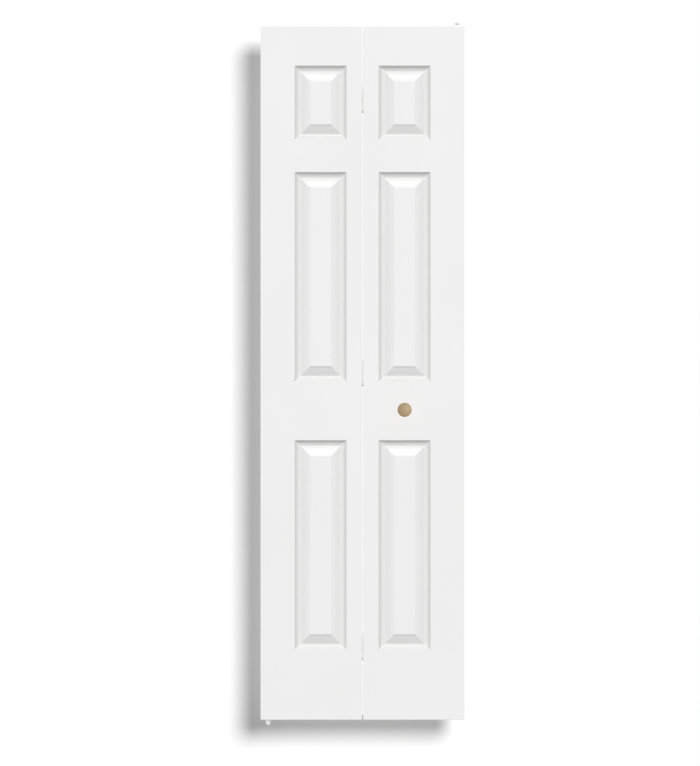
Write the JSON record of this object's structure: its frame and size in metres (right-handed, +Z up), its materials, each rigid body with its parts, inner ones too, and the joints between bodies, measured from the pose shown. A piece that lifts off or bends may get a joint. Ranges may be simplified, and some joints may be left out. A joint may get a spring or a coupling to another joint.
{
  "type": "bifold door",
  "caption": "Folding closet door: narrow moulded-panel leaves hinged together, swinging on a sprung jamb pivot and led by a sprung roller guide, with a small round knob.",
  "frame": {"origin": "on the jamb pivot axis, at the shoulder of the bottom pivot pin where it meets the jamb bracket; the axis runs up the middle of the leaf's thickness", "axes": "+X along the closed door from the jamb pivot to the guide, to the viewer's right; +Y away from the viewer, into the closet; +Z up the pivot axis"},
  "size_m": [0.5906, 0.0713, 2.0364],
  "materials": {
    "primed_skin": "moulded wood-fibre skin under a smooth white primer, satin",
    "frame_wood": "raw sawn softwood, painted white on the long outer edges",
    "core_paper": "raw brown paper",
    "hinge_steel": "steel under a white satin coat",
    "pin_steel": "drawn steel, zinc plated",
    "screw_steel": "zinc plated",
    "spring_steel": "spring wire, bright",
    "nylon": "moulded white nylon, satin",
    "knob_wood": "turned pale hardwood under clear satin lacquer"
  },
  "bodies": {
    "bottom_pivot": {"bottom_pivot_bolt": "pin_steel"},
    "height_stage": {"thrust_washer": "nylon"},
    "height_nut": {"height_nut": "nylon"},
    "pivot_leaf": {"pivot_leaf_front_skin": "primed_skin", "pivot_leaf_back_skin": "primed_skin", "pivot_leaf_jamb_stile": "frame_wood", "pivot_leaf_hinge_stile": "frame_wood", "pivot_leaf_top_rail": "frame_wood", "pivot_leaf_bottom_rail": "frame_wood", "pivot_leaf_honeycomb_core": "core_paper", "bottom_hinge_pivot_plate": "hinge_steel", "bottom_hinge_pin": "pin_steel", "bottom_hinge_pivot_screws": "screw_steel", "middle_hinge_pivot_plate": "hinge_steel", "middle_hinge_pin": "pin_steel", "middle_hinge_pivot_screws": "screw_steel", "top_hinge_pivot_plate": "hinge_steel", "top_hinge_pin": "pin_steel", "top_hinge_pivot_screws": "screw_steel", "bottom_pivot_sleeve": "nylon", "top_pivot_sleeve": "nylon", "top_pivot_plug": "nylon", "top_pivot_spring": "spring_steel"},
    "guide_leaf": {"guide_leaf_front_skin": "primed_skin", "guide_leaf_back_skin": "primed_skin", "guide_leaf_lead_stile": "frame_wood", "guide_leaf_hinge_stile": "frame_wood", "guide_leaf_top_rail": "frame_wood", "guide_leaf_bottom_rail": "frame_wood", "guide_leaf_honeycomb_core": "core_paper", "guide_leaf_knob_block": "frame_wood", "bottom_hinge_guide_plate": "hinge_steel", "bottom_hinge_guide_screws": "screw_steel", "middle_hinge_guide_plate": "hinge_steel", "middle_hinge_guide_screws": "screw_steel", "top_hinge_guide_plate": "hinge_steel", "top_hinge_guide_screws": "screw_steel", "knob": "knob_wood", "knob_washer": "screw_steel", "knob_screw": "screw_steel", "top_guide_sleeve": "nylon", "top_guide_plug": "nylon", "top_guide_spring": "spring_steel"},
    "top_pivot_pin": {"top_pivot_pin": "nylon"},
    "top_guide_pin": {"top_guide_pin": "nylon", "roller_clip": "spring_steel"},
    "guide_roller": {"guide_roller": "nylon"}
  },
  "joints": [
    {"name": "height_adjust", "type": "slide", "parent": "bottom_pivot", "child": "height_stage", "axis": [0, 0, 1], "range_m": [0, 0.008]},
    {"name": "nut_turn", "type": "hinge", "parent": "height_stage", "child": "height_nut", "pos_m": [0, 0, 0], "axis": [0, 0, 1], "range_deg": [0, 1801]},
    {"name": "jamb_pivot", "type": "hinge", "parent": "height_stage", "child": "pivot_leaf", "pos_m": [0, 0, 0], "axis": [0, 0, 1], "range_deg": [-85, 0]},
    {"name": "fold", "type": "hinge", "parent": "pivot_leaf", "child": "guide_leaf", "pos_m": [0.2733, 0.0212, 0], "axis": [0, 0, 1], "range_deg": [0, 170]},
    {"name": "top_pivot_press", "type": "slide", "parent": "pivot_leaf", "child": "top_pivot_pin", "axis": [0, 0, -1], "range_m": [0, 0.009], "stiffness_N_per_m": 400, "springref_m": -0.01, "deforming": ["top_pivot_spring"]},
    {"name": "top_guide_press", "type": "slide", "parent": "guide_leaf", "child": "top_guide_pin", "axis": [0, 0, -1], "range_m": [0, 0.006], "stiffness_N_per_m": 400, "springref_m": -0.01, "deforming": ["top_guide_spring"]},
    {"name": "roller_spin", "type": "hinge", "parent": "top_guide_pin", "child": "guide_roller", "pos_m": [0.5466, 0, 0], "axis": [0, 0, 1], "continuous": true}
  ],
  "couplings": [
    {"joint": "fold", "follows": "jamb_pivot", "ratio": -2},
    {"joint": "nut_turn", "follows": "height_adjust", "rad_per_m": 3927}
  ]
}
